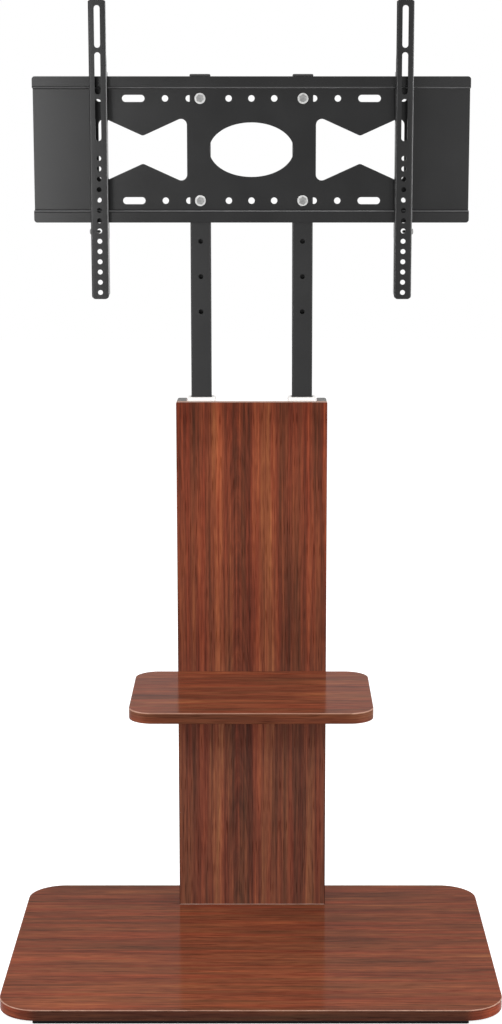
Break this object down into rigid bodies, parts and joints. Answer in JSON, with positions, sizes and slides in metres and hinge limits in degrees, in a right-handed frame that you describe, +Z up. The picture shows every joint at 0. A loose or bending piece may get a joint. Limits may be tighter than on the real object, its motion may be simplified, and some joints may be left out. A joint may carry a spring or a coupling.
{
  "type": "tv floor stand",
  "caption": "Floor stand for a television: walnut-look base, boxed column and shelf, with a folded black steel bracket on telescoping posts and sliding arms.",
  "frame": {"origin": "on the floor, under the middle of the base board", "axes": "+Z up, +Y towards the back of the stand, +X to the right seen from the front"},
  "size_m": [0.7, 0.5, 1.3889],
  "materials": {
    "walnut": "reddish-brown walnut laminate, semi-gloss, printed grain",
    "black_steel": "black-grey satin powder coat",
    "zinc": "bright zinc plate",
    "white_plastic": "white moulded plastic, satin",
    "black_plastic": "black moulded plastic, matt",
    "rubber": "black rubber"
  },
  "bodies": {
    "stand": {"base_board": "walnut", "base_plate": "black_steel", "foot_pad_front_left": "rubber", "foot_pad_front_right": "rubber", "foot_pad_back_left": "rubber", "foot_pad_back_right": "rubber", "column_front_board": "walnut", "column_left_board": "walnut", "column_right_board": "walnut", "mast_foot_plate": "black_steel", "foot_bolt_front_left": "zinc", "foot_bolt_front_right": "zinc", "foot_bolt_back_left": "zinc", "foot_bolt_back_right": "zinc", "left_outer_tube": "black_steel", "right_outer_tube": "black_steel", "lower_cross_brace": "black_steel", "upper_cross_brace": "black_steel", "brace_screw_lower_left": "zinc", "brace_screw_lower_right": "zinc", "brace_screw_upper_left": "zinc", "brace_screw_upper_right": "zinc", "left_collar": "white_plastic", "right_collar": "white_plastic", "shelf": "walnut", "left_shelf_bracket": "black_steel", "right_shelf_bracket": "black_steel", "left_shelf_screw_back": "zinc", "left_shelf_screw_front": "zinc", "right_shelf_screw_back": "zinc", "right_shelf_screw_front": "zinc", "left_bracket_screw_upper": "zinc", "left_bracket_screw_lower": "zinc", "right_bracket_screw_upper": "zinc", "right_bracket_screw_lower": "zinc"},
    "mast": {"left_post": "black_steel", "right_post": "black_steel", "left_post_cap": "black_plastic", "right_post_cap": "black_plastic", "left_post_glide": "black_plastic", "right_post_glide": "black_plastic", "bracket_plate": "black_steel", "lower_left_plate_bolt": "zinc", "lower_right_plate_bolt": "zinc", "upper_left_plate_bolt": "zinc", "upper_right_plate_bolt": "zinc", "lower_left_plate_washer": "zinc", "lower_right_plate_washer": "zinc", "upper_left_plate_washer": "zinc", "upper_right_plate_washer": "zinc"},
    "left_arm": {"left_arm": "black_steel", "left_safety_screw": "zinc", "left_safety_nut": "zinc"},
    "right_arm": {"right_arm": "black_steel", "right_safety_screw": "zinc", "right_safety_nut": "zinc"},
    "left_knob": {"left_clamp_knob": "black_plastic"},
    "right_knob": {"right_clamp_knob": "black_plastic"}
  },
  "joints": [
    {"name": "bracket_height", "type": "slide", "parent": "stand", "child": "mast", "axis": [0, 0, 1], "range_m": [-0.15, 0]},
    {"name": "left_arm_slide", "type": "slide", "parent": "mast", "child": "left_arm", "axis": [1, 0, 0], "range_m": [-0.079, 0.171]},
    {"name": "right_arm_slide", "type": "slide", "parent": "mast", "child": "right_arm", "axis": [-1, 0, 0], "range_m": [-0.079, 0.171]},
    {"name": "left_knob_turn", "type": "hinge", "parent": "stand", "child": "left_knob", "pos_m": [-0.075, 0.2011, 0.7714], "axis": [0, 1, 0], "range_deg": [0, 270]},
    {"name": "right_knob_turn", "type": "hinge", "parent": "stand", "child": "right_knob", "pos_m": [0.075, 0.2011, 0.7714], "axis": [0, 1, 0], "range_deg": [0, 270]}
  ]
}
